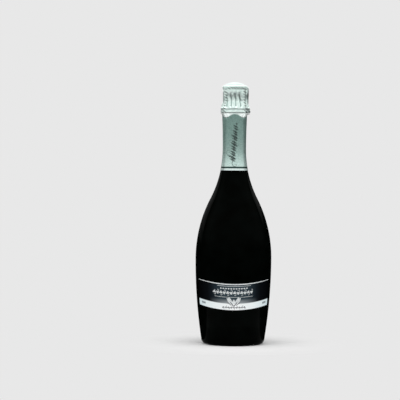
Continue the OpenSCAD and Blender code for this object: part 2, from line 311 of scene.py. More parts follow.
# Pressed cork: grains of 2 to 4 mm in several browns, with dark glue lines between them, and dry to the eye.
pressed_cork = surface("pressed_cork_grains")
place = add(pressed_cork, "TexCoord")
warp = add(pressed_cork, "TexNoise", {"Vector": (place, "Object"), "Scale": 1 / 0.0015, "Detail": 3.0})
bent = add(pressed_cork, "MixRGB", {"Fac": 0.0012, "Color1": (place, "Object"), "Color2": (warp, "Color")})
grain = add(pressed_cork, "TexVoronoi", {"Vector": bent, "Scale": 1 / 0.0026})
glue = add(pressed_cork, "TexVoronoi", {"Vector": bent, "Scale": 1 / 0.0026}, feature="DISTANCE_TO_EDGE")
shade = add(pressed_cork, "SeparateColor", {"Color": (grain, "Color")})
brown = add(pressed_cork, "ValToRGB", {"Fac": shade}, stops=[
    (0.0, "#8A6238"), (1.0, "#DDBC8C"), (0.35, "#BE9560"), (0.7, "#CDA874")])
line = add(pressed_cork, "ValToRGB", {"Fac": (glue, "Distance")}, stops=[(0.0, "#7A5733"), (0.09, "#FFFFFF")])
body = add(pressed_cork, "MixRGB", {"Fac": 0.75, "Color1": brown, "Color2": line}, blend_type="MULTIPLY")
relief = add(pressed_cork, "Bump", {"Height": (glue, "Distance"), "Strength": 0.5, "Distance": 0.0004})
shader = add(pressed_cork, "BsdfPrincipled", {
    "Base Color": body, "Roughness": 0.82, "IOR": 1.4, "Specular IOR Level": 0.3, "Normal": relief})
add(pressed_cork, "OutputMaterial", {"Surface": shader})

# Natural cork, cut across the bark: warm brown with drawn-out growth bands and dark open pores.
natural_cork = surface("natural_cork_disc")
place = add(natural_cork, "TexCoord")
bark = add(natural_cork, "Mapping", {"Vector": (place, "Object"), "Scale": (1.0, 0.25, 1.0)})
band = add(natural_cork, "TexNoise", {"Vector": bark, "Scale": 1 / 0.0016, "Detail": 5.0, "Distortion": 0.4})
brown = add(natural_cork, "ValToRGB", {"Fac": band}, stops=[
    (0.25, "#8D5F39"), (0.75, "#C49765"), (0.5, "#A87A4B")])
pore = add(natural_cork, "TexVoronoi", {"Vector": bark, "Scale": 1 / 0.0021})
hole = add(natural_cork, "ValToRGB", {"Fac": (pore, "Distance")}, stops=[
    (0.14, "#4A2E1C"), (0.24, "#FFFFFF")])
body = add(natural_cork, "MixRGB", {"Fac": 1.0, "Color1": brown, "Color2": hole}, blend_type="MULTIPLY")
relief = add(natural_cork, "Bump", {"Height": hole, "Strength": 0.4, "Distance": 0.0003})
shader = add(natural_cork, "BsdfPrincipled", {
    "Base Color": body, "Roughness": 0.78, "IOR": 1.4, "Specular IOR Level": 0.3, "Normal": relief})
add(natural_cork, "OutputMaterial", {"Surface": shader})

cork_line = [(0, plug_low + 2 * disc_h), (plug_r, plug_low + 2 * disc_h)]
cork_line += [(plug_r, z) for z in levels(plug_low + 2 * disc_h, bottle_h, 3)]
cork_line += arc((head_r - head_flare_r, bottle_h + head_flare_r), head_flare_r, -90, 0, 10)
cork_line += [(head_r, z) for z in levels(bottle_h + head_flare_r, cap_z - head_edge_r, 1)]
cork_line += arc((head_r - head_edge_r, cap_z - head_edge_r), head_edge_r, 0, 90, 8)[1:]
cork_line += [
    (crown_r * (1 - i / 8), cap_z + head_crown * (1 - (1 - i / 8) ** 2)) for i in range(9)]
cork = piece("cork_plug", *turned(cork_line, 144, cork_head), pressed_cork)
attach(cork, "cork")
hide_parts("cork_body")
for node, low, bevel in (("cork_disc_lower", plug_low, 0.5), ("cork_disc_upper", plug_low + disc_h, 0.1)):
    line = disc_outline(low, low + disc_h, bevel)
    disc = piece(node + "_natural", *turned(line, 96), natural_cork)
    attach(disc, "cork")
    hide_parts(node)


# Cap under the cage: a disc of lacquered tinplate, pressed with a domed middle, two raised rings and
# an upturned edge that has a notch for each leg of the cage.
wire_d = 1.0
wire_gap = 0.06
wire_off = wire_gap + wire_d / 2
cap_t = 0.3
cap_r = 13.2
cap_crown = 3.9
cap_edge_h = 0.7
pressed_h = 0.25
pressed_w = 0.45
pressed_at = (4.2, 8.2)
top_ring_r = 11.2
notch_w = 1.4
seat_r = top_ring_r + wire_off


def cap_height(r):
    """Height of the cap's underside above its seat, with two pressed rings."""
    dome = cap_crown * (1 - (r / crown_r) ** 2) if r < crown_r else 0.0
    rings = sum(pressed_h * math.exp(-((r - at) / pressed_w) ** 2) for at in pressed_at)
    return dome + rings + cap_edge_h * smooth(seat_r, cap_r, r)


def cap_notch(a, r, z, row):
    """Draws the edge in where a leg passes."""
    for turn in leg_turns:
        away = abs(turn_from(a, turn)) * cap_r
        keep = smooth(notch_w - 0.3, notch_w + 0.3, away)
        if r > seat_r:
            r = seat_r + (r - seat_r) * max(keep, 0.05)
    return r, z


# Lacquered tinplate: pale green silver lacquer, smooth and glossy, with tin showing along the pressed
# rings and the edge, where the lacquer wears.
tinplate = surface("lacquered_tinplate")
place = add(tinplate, "TexCoord")
wear = add(tinplate, "TexNoise", {"Vector": (place, "Object"), "Scale": 1 / 0.002, "Detail": 6.0})
edge = add(tinplate, "NewGeometry")
wear_and_fold_shade = add(tinplate, "Math", {0: (edge, "Pointiness"), 1: wear}, operation="MULTIPLY")
mask = add(tinplate, "ValToRGB", {"Fac": wear_and_fold_shade}, stops=[(0.27, 0.0), (0.36, 1.0)])
colour = add(tinplate, "MixRGB", {
    "Fac": mask, "Color1": linear("#8FB3A8"), "Color2": linear("#C9CDCB")})
gloss = add(tinplate, "ValToRGB", {"Fac": wear}, stops=[(0.3, 0.24), (0.7, 0.38)])
shader = add(tinplate, "BsdfPrincipled", {
    "Base Color": colour, "Metallic": 0.7, "Roughness": gloss, "Coat Weight": 0.6, "Coat Roughness": 0.15})
add(tinplate, "OutputMaterial", {"Surface": shader})

cap_steps = 44
cap_low = [(cap_r * i / cap_steps, cap_z + cap_height(cap_r * i / cap_steps)) for i in range(cap_steps + 1)]
cap_high = [(r, z + cap_t) for r, z in cap_low]
cap = piece("cage_cap_pressed", *turned(cap_low + cap_high[::-1], 240, cap_notch), tinplate)
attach(cap, "cage")
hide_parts("cage_cap")


# Cage: drawn and galvanised steel wire. A ring lies round the cap, and from it four legs of two twisted
# strands run down over the head and the ring of the glass, and hook under the belt wire.
strand_d = 0.84
strand_pitch = 6.8
leg_bend_r = 3.6
leg_r = seat_r + leg_bend_r
top_ring_z = cap_z + cap_t + wire_off
leg_c = (seat_r, top_ring_z - leg_bend_r)
leg_out_z = bead_low - groove_depth
belt_r = neck_r + neck_flare + wire_off
belt_z = ring_low - wire_off
crest_low = ring_low + ring_edge_r
crest_high = ring_high - ring_edge_r
leg_lift = 0.3
hook_r = (strand_d + wire_d) / 2 + 0.05


def bar_faces(count, sides, closed=False):
    """Faces of a bar of count rings of points, closed to a loop or else with two ends."""
    faces = []
    for i in range(count if closed else count - 1):
        j = (i + 1) % count
        for k in range(sides):
            n = (k + 1) % sides
            faces.append((i * sides + k, i * sides + n, j * sides + n, j * sides + k))
    if not closed:
        faces.append(tuple(reversed(range(sides))))
        faces.append(tuple((count - 1) * sides + k for k in range(sides)))
    return faces


def tube(path, radius, sides=10, closed=False):
    """Points and faces of a round wire along a path in mm."""
    count = len(path)
    points = []
    out = None
    for i, at in enumerate(path):
        ahead = path[(i + 1) % count] if closed else path[min(i + 1, count - 1)]
        behind = path[i - 1] if closed or i else path[0]
        run = (ahead - behind).normalized()
        if out is None:
            out = run.orthogonal()
        out = (out - run * out.dot(run)).normalized()
        side = run.cross(out)
        for k in range(sides):
            a = 2 * math.pi * k / sides
            points.append(at + radius * (math.cos(a) * out + math.sin(a) * side))
    return points, bar_faces(count, sides, closed)


def joined(parts):
    """Several sets of points and faces as one."""
    points, faces = [], []
    for more, sets in parts:
        start = len(points)
        points += more
        faces += [tuple(start + i for i in face) for face in sets]
    return points, faces


def evenly(line, step):
    """A line of [radius, height] points set out again at even steps."""
    lengths = [0.0]
    for p, q in zip(line, line[1:]):
        lengths.append(lengths[-1] + math.dist(p, q))
    out, k = [], 0
    count = math.ceil(lengths[-1] / step)
    for i in range(count + 1):
        s = lengths[-1] * i / count
        while k < len(line) - 2 and lengths[k + 1] < s:
            k += 1
        t = (s - lengths[k]) / (lengths[k + 1] - lengths[k])
        out.append(tuple(a + (b - a) * t for a, b in zip(line[k], line[k + 1])))
    return out


def ring_path(radius, height, count=160):
    turns = [2 * math.pi * k / count for k in range(count)]
    return [Vector((radius * math.cos(a), radius * math.sin(a), height)) for a in turns]


def strands(line, turn):
    """Two strands twisted round each other along a line of [radius, height] points at an angle."""
    across = Vector((-math.sin(turn), math.cos(turn), 0))
    radial = Vector((math.cos(turn), math.sin(turn), 0))
    centre = [radial * r + Vector((0, 0, z)) for r, z in line]
    paths = ([], [])
    length = 0.0
    for i, at in enumerate(centre):
        run = (centre[min(i + 1, len(centre) - 1)] - centre[max(i - 1, 0)]).normalized()
        out = run.cross(across)
        length += (at - centre[i - 1]).length if i else 0.0
        twist = 2 * math.pi * length / strand_pitch
        offset = strand_d / 2 * (math.cos(twist) * across + math.sin(twist) * out)
        paths[0].append(at + offset)
        paths[1].append(at - offset)
    return paths


# Galvanised wire: dull silver zinc with a fine draw along it and a faint grey bloom.
zinc_wire = surface("drawn_galvanised_wire")
place = add(zinc_wire, "TexCoord")
bloom = add(zinc_wire, "TexNoise", {"Vector": (place, "Object"), "Scale": 1 / 0.0012, "Detail": 4.0})
colour = add(zinc_wire, "ValToRGB", {"Fac": bloom}, stops=[(0.3, "#8E9294"), (0.7, "#C3C6C6")])
gloss = add(zinc_wire, "ValToRGB", {"Fac": bloom}, stops=[(0.3, 0.44), (0.7, 0.3)])
shader = add(zinc_wire, "BsdfPrincipled", {"Base Color": colour, "Metallic": 1.0, "Roughness": gloss})
add(zinc_wire, "OutputMaterial", {"Surface": shader})

leg_line = [(top_ring_r, top_ring_z)] + arc(leg_c, leg_bend_r, 90, 0, 6)
leg_line += [(leg_r, leg_out_z)]
leg_line += arc((ring_r - ring_edge_r, crest_high), ring_edge_r + wire_off, 40, 0, 4)
leg_line += arc((ring_r - ring_edge_r, crest_low), ring_edge_r + wire_off, 0, -40, 4)
leg_line = [(r + leg_lift, z) for r, z in leg_line]
leg_line += arc((belt_r, belt_z), hook_r, 35, -95, 8)
leg_parts = []
for turn in leg_turns:
    for path in strands(evenly(leg_line, 0.35), math.radians(turn)):
        leg_parts.append(tube(path, strand_d / 2, 8))
cage = piece("cage_of_twisted_wire", *joined(
    leg_parts + [tube(ring_path(top_ring_r, top_ring_z), wire_d / 2, closed=True)]), zinc_wire, 60)
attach(cage, "cage")
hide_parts("cage_wire")
belt = piece("belt_wire_ring", *tube(ring_path(belt_r, belt_z), wire_d / 2, closed=True), zinc_wire, 60)
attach(belt, "cage")
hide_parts("belt_wire")


# Eyelet: the two ends of the belt wire, of the same galvanised steel, twisted together and left as a
# loop, which is folded up against the ring of the glass.
eyelet_h = 9.8
eyelet_w = 4.6
loop_h = 5.8
loop_z = belt_z + eyelet_h - loop_h / 2
stem_top = loop_z - loop_h / 2 + 0.4


def reach(z):
    """Distance from the axis at which a wire lies on the ring of the glass."""
    line = leg_line[::-1]
    for (r0, z0), (r1, z1) in zip(line, line[1:]):
        if z0 <= z <= z1:
            return r0 + (r1 - r0) * (z - z0) / (z1 - z0)
    return leg_r + leg_lift


def eyelet_path():
    """The one wire of the eyelet, up one side of the twist, round the loop and down again."""
    rise = []
    steps = 26
    start = belt_z + 0.9
    for i in range(steps):
        z = start + (stem_top - start) * i / steps
        twist = 2 * math.pi * 1.5 * i / steps
        rise.append((strand_d / 2 * math.cos(twist), strand_d / 2 * math.sin(twist), z))
    opening = math.acos(min(1.0, strand_d / eyelet_w))
    loop = []
    for i in range(31):
        a = -opening + (math.pi + 2 * opening) * i / 30
        loop.append((-eyelet_w / 2 * math.cos(a), 0.0, loop_z + loop_h / 2 * math.sin(a)))
    fall = [(-u, -w, z) for u, w, z in reversed(rise)]
    path = []
    for u, w, z in rise + loop + fall:
        r = reach(z) + w
        path.append(Vector((math.sqrt(r * r - u * u), u, z)))
    return path


eyelet = piece("eyelet_loop", *tube(eyelet_path(), strand_d / 2, 10), zinc_wire, 60)
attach(eyelet, "eyelet")
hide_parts("twist_eyelet")


# Foil capsule, head: thin aluminium laminate, shrunk and pressed by hand over the cage. It creases over
# each leg, where the twist of the wire prints through, and gathers into small folds round the top.
foil_t = 0.15
foil_gap = 0.1
foil_off = wire_d / 2 + foil_gap
strip_drop = 1.7
strip_h = 4.2
strip_low = ring_low - strip_drop
strip_high = strip_low + strip_h
crest_r = ring_r + wire_off
strip_r = crest_r + foil_off + foil_t
dome_turn = math.radians(62)
dome_edge = (
    leg_c[0] + (leg_bend_r + foil_off) * math.cos(dome_turn),
    leg_c[1] + (leg_bend_r + foil_off) * math.sin(dome_turn))
dome_fall = dome_edge[0] / (2 * math.tan(dome_turn))
disc_reach = 0.84
top_disc_r = leg_c[0] + disc_reach
fold_w = 3.0
leg_ridge_h = 0.75
leg_ridge_w = 1.25
bulge_w = 3.8
waist_z = 301.0
waist_depth = 0.25
panel_fold_depth = 0.95
gather_fold_depth = 1.2
foil_clear = 0.15
panel_creases = ((-37, -41), (-17, -21), (4, -1), (26, 18))
gathers = 27


def over_wires(a, z):
    """How far the foil is pushed out by the legs and by the folded eyelet, in mm."""
    out = 0.0
    for turn in leg_turns:
        away = turn_from(a, turn) * leg_r
        print_through = 1 + 0.55 * math.cos(2 * math.pi * (z + 0.7 * away) / (strand_pitch / 2))
        out += leg_ridge_h * print_through * math.exp(-(away / leg_ridge_w) ** 2)
    away = a if a < math.pi else a - 2 * math.pi
    high = smooth(belt_z - 2, belt_z, z) * (1 - smooth(belt_z + eyelet_h - 1.5, belt_z + eyelet_h + 1, z))
    crumple = 0.5 + 0.7 * noise.noise(Vector((away * 9, z / 1.6, 11)))
    return out + crumple * high * math.exp(-(away * crest_r / bulge_w) ** 2)


def panel_turn(a):
    """Angle in degrees from the middle of the panel between two legs."""
    return (math.degrees(a) + 45) % 90 - 45


def slack(a, z):
    """The foil is pulled in between the legs, most at -X, and stands off over the eyelet at +X."""
    reach_in = smooth(6, 22, 45 - abs(panel_turn(a)))
    side = round(math.degrees(a) / 90) % 4
    upper = smooth(296, 301, z)
    low, high = ((0.3, 1.3), (-0.35, -0.5), (-0.95, -1.3), (-0.35, -0.5))[side]
    return reach_in * (low + (high - low) * upper) * (1 - smooth(315, 320, z))


def panel_folds(a, z):
    """Depth in mm of the folds that run down each panel, wide and soft above and narrow at the ring."""
    turn = panel_turn(a)
    panel = round(math.degrees(a) / 90) % 4 - 3
    upper = smooth(296, 310, z)
    depth = 0.0
    for low_turn, high_turn in panel_creases:
        at = low_turn + (high_turn - low_turn) * upper + 5 * math.sin(panel * (low_turn + 1))
        wide = 2.9 + 3.8 * upper
        fade = smooth(292.0, 294.5, z) * (1 - smooth(302, 312.5, z))
        depth += panel_fold_depth * fade * math.exp(-(abs(turn - at) / wide) ** 1.5)
    return depth


def gather_depth(a, z):
    """Depth in mm of the slanted gathers round the top of the head."""
    slant = 0.8 * (z - dome_edge[1]) + 1.6 * noise.noise(Vector((a * 3, 0, 3)))
    gather = abs(math.sin(gathers * a / 2 + slant))
    return gather_fold_depth * (1 - gather) ** 1.5 * math.exp(-((z - (dome_edge[1] - 3.6)) / 2.0) ** 2)


def foil_head_move(a, r, z, row):
    """Creases of the head's foil: ridges over the wires, wedge folds in each panel, gathers round the top."""
    if r < 10.5:
        return r, z
    from_leg = 45 - abs(panel_turn(a))
    side = smooth(dome_edge[0] - 0.5, leg_r, r)
    crinkle = 1 - smooth(5, 17, from_leg)
    out = over_wires(a, z) * smooth(top_disc_r - 1.5, leg_r - 1, r) + slack(a, z)
    out += side * 0.16 * noise.noise(Vector((a * 8, z / 5, 0)))
    out += side * (0.12 + crinkle) * 0.5 * (0.5 - abs(noise.noise(Vector((a * 15, z / 1.9, 7)))))
    waist = math.exp(-((z - waist_z) / 4.5) ** 2)
    out -= waist_depth * waist * smooth(4, 16, from_leg)
    out -= panel_folds(a, z)
    out -= gather_depth(a, z)
    if z < leg_c[1]:
        out = max(out, bead_r + foil_t + foil_clear - r)
    normal = max(r - leg_c[0], 0.01), max(z - leg_c[1], 0.0)
    size = math.hypot(*normal)
    return r + out * normal[0] / size, z + out * normal[1] / size * 0.5


# Pale foil: aluminium with a thin pale green lacquer, satin, with painted shade that darkens its creases and
# folds.
pale_foil = surface("satin_lacquered_foil_pale")
place = add(pale_foil, "TexCoord")
crumple = add(pale_foil, "TexNoise", {"Vector": (place, "Object"), "Scale": 1 / 0.0022, "Detail": 4.0})
fine = add(pale_foil, "TexNoise", {"Vector": (place, "Object"), "Scale": 1 / 0.0006, "Detail": 2.0})
lacquer = add(pale_foil, "ValToRGB", {"Fac": crumple}, stops=[(0.3, "#D3E8E2"), (0.7, "#EAF9F4")])
# Painted shade: the colour darkens at the bottoms of sharp creases, where the surface turns in.
bend = add(pale_foil, "NewGeometry")
crease = add(pale_foil, "ValToRGB", {"Fac": (bend, "Pointiness")}, stops=[
    (0.43, "#6F8883"), (0.49, "#FFFFFF")])
# Painted shade: the fold depth kept on the head darkens the colour in the panel folds and gathers.
folds = add(pale_foil, "Attribute", attribute_name="folds")
pressed = add(pale_foil, "ValToRGB", {"Fac": (folds, "Fac")}, stops=[(0.15, "#FFFFFF"), (1.0, "#A9BAB6")])
wear_and_fold_shade = add(pale_foil, "MixRGB", {"Fac": 1.0, "Color1": crease, "Color2": pressed}, blend_type="MULTIPLY")
colour = add(pale_foil, "MixRGB", {"Fac": 1.0, "Color1": lacquer, "Color2": wear_and_fold_shade}, blend_type="MULTIPLY")
gloss = add(pale_foil, "ValToRGB", {"Fac": fine}, stops=[(0.3, 0.16), (0.7, 0.25)])
relief = add(pale_foil, "Bump", {"Height": crumple, "Strength": 0.35, "Distance": 0.0003})
shader = add(pale_foil, "BsdfPrincipled", {
    "Base Color": colour, "Metallic": 0.9, "Roughness": gloss, "Normal": relief})
add(pale_foil, "OutputMaterial", {"Surface": shader})


def dome_z(r):
    return dome_edge[1] + dome_fall * (1 - (r / dome_edge[0]) ** 2)


def beside(line, distance):
    """The line moved sideways by a distance, to the right as it runs."""
    out = []
    for i, at in enumerate(line):
        behind, ahead = line[max(i - 1, 0)], line[min(i + 1, len(line) - 1)]
        run = (ahead[0] - behind[0], ahead[1] - behind[1])
        size = math.hypot(*run)
        out.append((at[0] - run[1] / size * distance, at[1] + run[0] / size * distance))
    return out


def sheet_row(row, line):
    """The row of the line that a ring of its thin sheet belongs to."""
    return min(row, 2 * len(line) - 1 - row)


def thin_sheet(line, sides, move):
    """A closed shell of foil whose outer side is the line, which runs down. Both sides move as one."""
    def move_both(a, r, z, row):
        at = sheet_row(row, line)
        moved = move(a, *line[at], at)
        return r + moved[0] - line[at][0], z + moved[1] - line[at][1]

    return turned(beside(line, -foil_t) + line[::-1], sides, move_both)


def mark(sheet, name, line, value):
    """Keeps a number at each point of a thin sheet: the value at its angle and row."""
    kept = sheet.data.attributes.new(name, "FLOAT", "POINT")
    sides = len(kept.data) // (2 * len(line))
    for i, point in enumerate(kept.data):
        point.value = value(2 * math.pi * (i % sides) / sides, sheet_row(i // sides, line))


roll = 0.15
slit = 0.5
head_line = [(top_disc_r - fold_w + (dome_edge[0] - top_disc_r + fold_w) * i / 8, 0) for i in range(8)]
head_line = [(r, dome_z(r) + foil_t) for r, _ in head_line]
head_line += arc(leg_c, leg_bend_r + foil_off + foil_t, math.degrees(dome_turn), 0, 12)
head_line += [(head_line[-1][0], z) for z in levels(leg_c[1], leg_out_z + 1.5, 0.45)]
flare = arc((ring_r - ring_edge_r, crest_high), ring_edge_r + wire_off + foil_off + foil_t, 38, 0, 8)
head_line += evenly([head_line[-1]] + flare, 0.45)[1:]
head_line += [(strip_r, z) for z in levels(crest_high, strip_high + slit + roll, 0.3)]
head_line += arc((strip_r - roll, strip_high + slit + roll), roll, 0, -80, 4)[1:]
head = piece("capsule_head_foil", *thin_sheet(head_line, 360, foil_head_move), pale_foil, 60)
# Keeps the depth of the panel folds and gathers on the head. The pale foil darkens its colour by it, as
# painted shade.
mark(head, "folds", head_line, lambda a, row: (
    0.7 * panel_folds(a, head_line[row][1]) + 0.9 * gather_depth(a, head_line[row][1])))
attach(head, "foil_head")
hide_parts("capsule_head")


# Foil capsule, disc: a flat-pressed disc is glued over the gathered edge. It is domed and nearly smooth,
# with one embossed line near its edge and a ring of small dots.
disc_dots = 36
dots_r = 9.3
line_r = 10.6


def disc_emboss(a, r, z, row):
    """The embossed line and dots of the top disc, on its upper side only."""
    if row <= disc_steps:
        return r, z
    z += 0.16 * math.exp(-((r - line_r) / 0.3) ** 2)
    z += 0.12 * math.exp(-((r - dots_r) / 0.45) ** 2) * max(0.0, math.cos(disc_dots * a))
    return r, z + 0.05 * noise.noise(Vector((r * math.cos(a), r * math.sin(a), 0)) / 3.5)


disc_steps = 48
fold_gap = 0.08
disc_low = [
    (top_disc_r * i / disc_steps, dome_z(top_disc_r * i / disc_steps) + foil_t + fold_gap)
    for i in range(disc_steps + 1)]
disc_high = [(r, z + foil_t) for r, z in disc_low]
disc = piece("capsule_top_disc", *turned(disc_low + disc_high[::-1], 288, disc_emboss), pale_foil, 60)
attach(disc, "foil_head")
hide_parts("capsule_top")


# Tear strip: a band of the same foil between two perforated lines. It lies flat on the ring of the glass,
# and its two edges roll in a little.


def strip_move(a, r, z, row):
    out = over_wires(a, z) + slack(a, z) + 0.06 * ((strip_low + strip_high) / 2 - z)
    return r + out + 0.06 * noise.noise(Vector((a * 9, z / 3, 5))), z


strip_line = arc((strip_r - roll, strip_high - roll), roll, 80, 0, 4)
strip_line += [(strip_r, z) for z in levels(strip_high - roll, strip_low + slit + roll, 0.4)]
strip_line += arc((strip_r - roll, strip_low + slit + roll), roll, 0, -80, 4)[1:]
strip = piece("tear_strip_band", *thin_sheet(strip_line, 360, strip_move), pale_foil, 60)
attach(strip, "foil_head")
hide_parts("tear_strip")


# Pull tab: the strip's free end, a stiffened piece of the same foil. It is folded back at its crease and
# lies flat on the strip. Pressed ribs give the fingers a grip.
glue_gap = 0.05
tab_l = 13.0
tab_t = 0.2
crease_d = 0.5
tab_corner_r = 1.4
rib_h = 0.045
rib_pitch = 0.9
tab_inner = strip_r + glue_gap
tab_turn = tab_l / tab_inner
tab_steps = 110
tab_rows = 14


def tab_grid(side):
    """One side of the tab, from the middle of its crease to the free end with its two round corners."""
    points = []
    for i in range(tab_steps + 1):
        s = -crease_d / 2 + (tab_l + crease_d / 2) * i / tab_steps
        fold = math.sqrt(max((crease_d / 2) ** 2 - s * s, 0.0)) if s < crease_d / 2 else 0.0
        half = max(fold, tab_t / 2 * smooth(0.0, 0.15, s))
        corner = max(s - (tab_l - tab_corner_r), 0.0)
        half_h = strip_h / 2 - tab_corner_r + math.sqrt(max(tab_corner_r ** 2 - corner ** 2, 0.0))
        rib = rib_h * math.cos(2 * math.pi * s / rib_pitch) * smooth(5.5, 6.5, s) * (1 - smooth(11.2, 12, s))
        lift = 0.02 * math.sin(s * 0.9)
        a = math.pi / 2 - tab_turn / 2 + s / tab_inner
        r = tab_inner + crease_d / 2 + lift + side * half + rib * (side > 0)
        for j in range(tab_rows + 1):
            z = (strip_low + strip_high) / 2 + half_h * (2 * j / tab_rows - 1)
            points.append((r * math.cos(a), r * math.sin(a), z))
    return points


def shell(upper, lower, wide, high):
    """A closed sheet from two grids of points with wide + 1 columns of high + 1 points."""
    start = len(upper)
    faces = []
    for i in range(wide):
        for j in range(high):
            a, b = i * (high + 1) + j, (i + 1) * (high + 1) + j
            faces.append((a, b, b + 1, a + 1))
            faces.append((start + a, start + a + 1, start + b + 1, start + b))
    for i in range(wide):
        a, b = i * (high + 1), (i + 1) * (high + 1)
        faces.append((a, start + a, start + b, b))
        faces.append((a + high, b + high, start + b + high, start + a + high))
    for j in range(high):
        a, b = j, wide * (high + 1) + j
        faces.append((a, a + 1, start + a + 1, start + a))
        faces.append((b, start + b, start + b + 1, b + 1))
    return upper + lower, faces


tab = piece("pull_tab_folded", *shell(tab_grid(1), tab_grid(-1), tab_steps, tab_rows), pale_foil, 60)
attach(tab, "tab")
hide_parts("pull_tab")


# Foil capsule, skirt: the same laminate with a printed satin green lacquer, shrunk onto the neck. Under
# the ring it tucks in, lower beside the legs of the cage. A vine is printed up its front in dark ink.
tear_gap = 0.1
skirt_high = strip_low - tear_gap
skirt_lip = 0.6
bend_z = skirt_high - skirt_lip
capsule_h = 91.0
capsule_low = bottle_h - capsule_h
tuck_w = 2.9
tuck_drop = 1.3
leg_drop = 4.1
max_drop = 4.3
eyelet_dip = 0.6
leg_fold_h = 0.55
leg_fold_w = 1.1
tension_h = 0.14
ripple_h = 0.1
ink_clear = 0.06
seam_t = 0.09
bend_rows = 14
skirt_rows = 150


def skirt_ripple(a, z):
    return max(0.0, noise.noise(Vector((a * 6, z / 9, 2))))


def skirt_move(a, r, z, row):
    """The tuck under the ring, the folds below each leg and the glued seam at the back. The edge dips
    where the eyelet comes down over it."""
    near = smooth(8, 34, abs(panel_turn(a)))
    drop = tuck_drop + min(max_drop, leg_drop * (panel_turn(a) / 33) ** 2)
    out = 0.0
    for turn in leg_turns:
        away = turn_from(a, turn) * 16
        out += math.exp(-(away / leg_fold_w) ** 2)
    stand = over_wires(a, strip_low) + slack(a, strip_low)
    dip = eyelet_dip * math.exp(-(turn_from(a, 0) * strip_r / 3.6) ** 2)
    if row < lip_rows:
        return r + stand, z - dip
    low_z = bend_z - drop
    neck = glass_radius(low_z) + foil_gap + foil_t
    if row < lip_rows + bend_rows:
        t = (row - lip_rows + 1) / bend_rows
        fall = t - 0.12 * math.sin(math.pi * t)
        r = strip_r + stand + (neck - strip_r - stand) * t
        return r + 0.9 * out * math.sin(math.pi * t), bend_z - drop * fall - dip * (1 - t)
    t = (row - lip_rows - bend_rows + 1) / skirt_rows
    z = low_z + (capsule_low - low_z) * t
    ripple = skirt_ripple(a, z) * ripple_h
    fold = leg_fold_h * out * math.exp(-(low_z - z) / 9.0)
    tension = tension_h * (1 + math.cos(36 * a + 0.2 * z)) * math.exp(-(low_z - z) / 6.0) * near
    past = (a - math.pi / 2) * 15
    seam = seam_t * smooth(-0.15, 0.15, past) * (1 - smooth(2.9, 3.1, past))
    start = smooth(0.0, 1.5, low_z - z)
    return glass_radius(z) + foil_gap + foil_t + (ripple + tension + seam) * start + fold, z


neck_top = bend_z - tuck_w
skirt_line = arc((strip_r - roll, skirt_high - roll), roll, 80, 0, 4)
lip_rows = len(skirt_line)
skirt_line += [
    (strip_r - tuck_w * i / bend_rows, bend_z - tuck_w * i / bend_rows) for i in range(1, bend_rows + 1)]
skirt_line += [
    (glass_radius(z) + foil_gap + foil_t, z)
    for z in [neck_top + (capsule_low - neck_top) * i / skirt_rows for i in range(1, skirt_rows + 1)]]

# Printed foil: a satin lacquer with painted shade, grey green above under the head and paler below, then a
# dark printed line and the bare silver foil along the lower edge. The tuck under the ring is bare pale foil,
# with a painted reflection of the floor that makes it near white. A fine grain spreads the shine.
green_foil = surface("satin_printed_foil_green")
place = add(green_foil, "TexCoord")
parts = add(green_foil, "SeparateXYZ", {"Vector": (place, "Object")})
height = add(green_foil, "MapRange", {
    "Value": (parts, "Z"), "From Min": 0.215, "From Max": 0.286, "To Min": 0.0, "To Max": 1.0})
# Painted shade: the lacquer is made darker towards the top, where the head shades the skirt.
soft = add(green_foil, "ValToRGB", {"Fac": height}, stops=[
    (0.0, "#CFE5DF"), (1.0, "#93B3AB"), (0.12, "#CDE4DE"), (0.3, "#B4CFC8"), (0.6, "#9AB9B1")])
lines = add(green_foil, "ValToRGB", {"Fac": height}, stops=[
    (0.0, 1.0), (1.0, 0.0), (0.034, 0.5), (0.064, 0.0)])
lines.color_ramp.interpolation = "CONSTANT"
crumple = add(green_foil, "TexNoise", {"Vector": (place, "Object"), "Scale": 1 / 0.003, "Detail": 5.0})
fine = add(green_foil, "TexNoise", {"Vector": (place, "Object"), "Scale": 1 / 0.0005, "Detail": 2.0})
shift = add(green_foil, "ValToRGB", {"Fac": crumple}, stops=[(0.3, "#EAEFEE"), (0.7, "#FFFFFF")])
body = add(green_foil, "MixRGB", {"Fac": 1.0, "Color1": soft, "Color2": shift}, blend_type="MULTIPLY")
is_dark = add(green_foil, "Math", {0: lines, 1: 0.25, 2: 0.0}, operation="GREATER_THAN")
is_silver = add(green_foil, "Math", {0: lines, 1: 0.75, 2: 0.0}, operation="GREATER_THAN")
# The bare tuck is pale foil, and its near white colour is a painted reflection of the floor.
bare = add(green_foil, "Attribute", attribute_name="bare")
lacquer_with_painted_light = add(green_foil, "MixRGB", {"Fac": (bare, "Fac"), "Color1": body, "Color2": linear("#F6FFFC")})
inked = add(green_foil, "MixRGB", {"Fac": is_dark, "Color1": lacquer_with_painted_light, "Color2": linear("#2F4541")})
colour = add(green_foil, "MixRGB", {"Fac": is_silver, "Color1": inked, "Color2": linear("#DCEBE8")})
gloss = add(green_foil, "ValToRGB", {"Fac": fine}, stops=[(0.3, 0.24), (0.7, 0.34)])
relief = add(green_foil, "Bump", {"Height": fine, "Strength": 0.2, "Distance": 0.00006})
metal = add(green_foil, "MapRange", {"Value": (bare, "Fac"), "To Min": 0.75, "To Max": 0.45})
shader = add(green_foil, "BsdfPrincipled", {
    "Base Color": colour, "Metallic": metal, "Roughness": gloss, "Normal": relief})
add(green_foil, "OutputMaterial", {"Surface": shader})

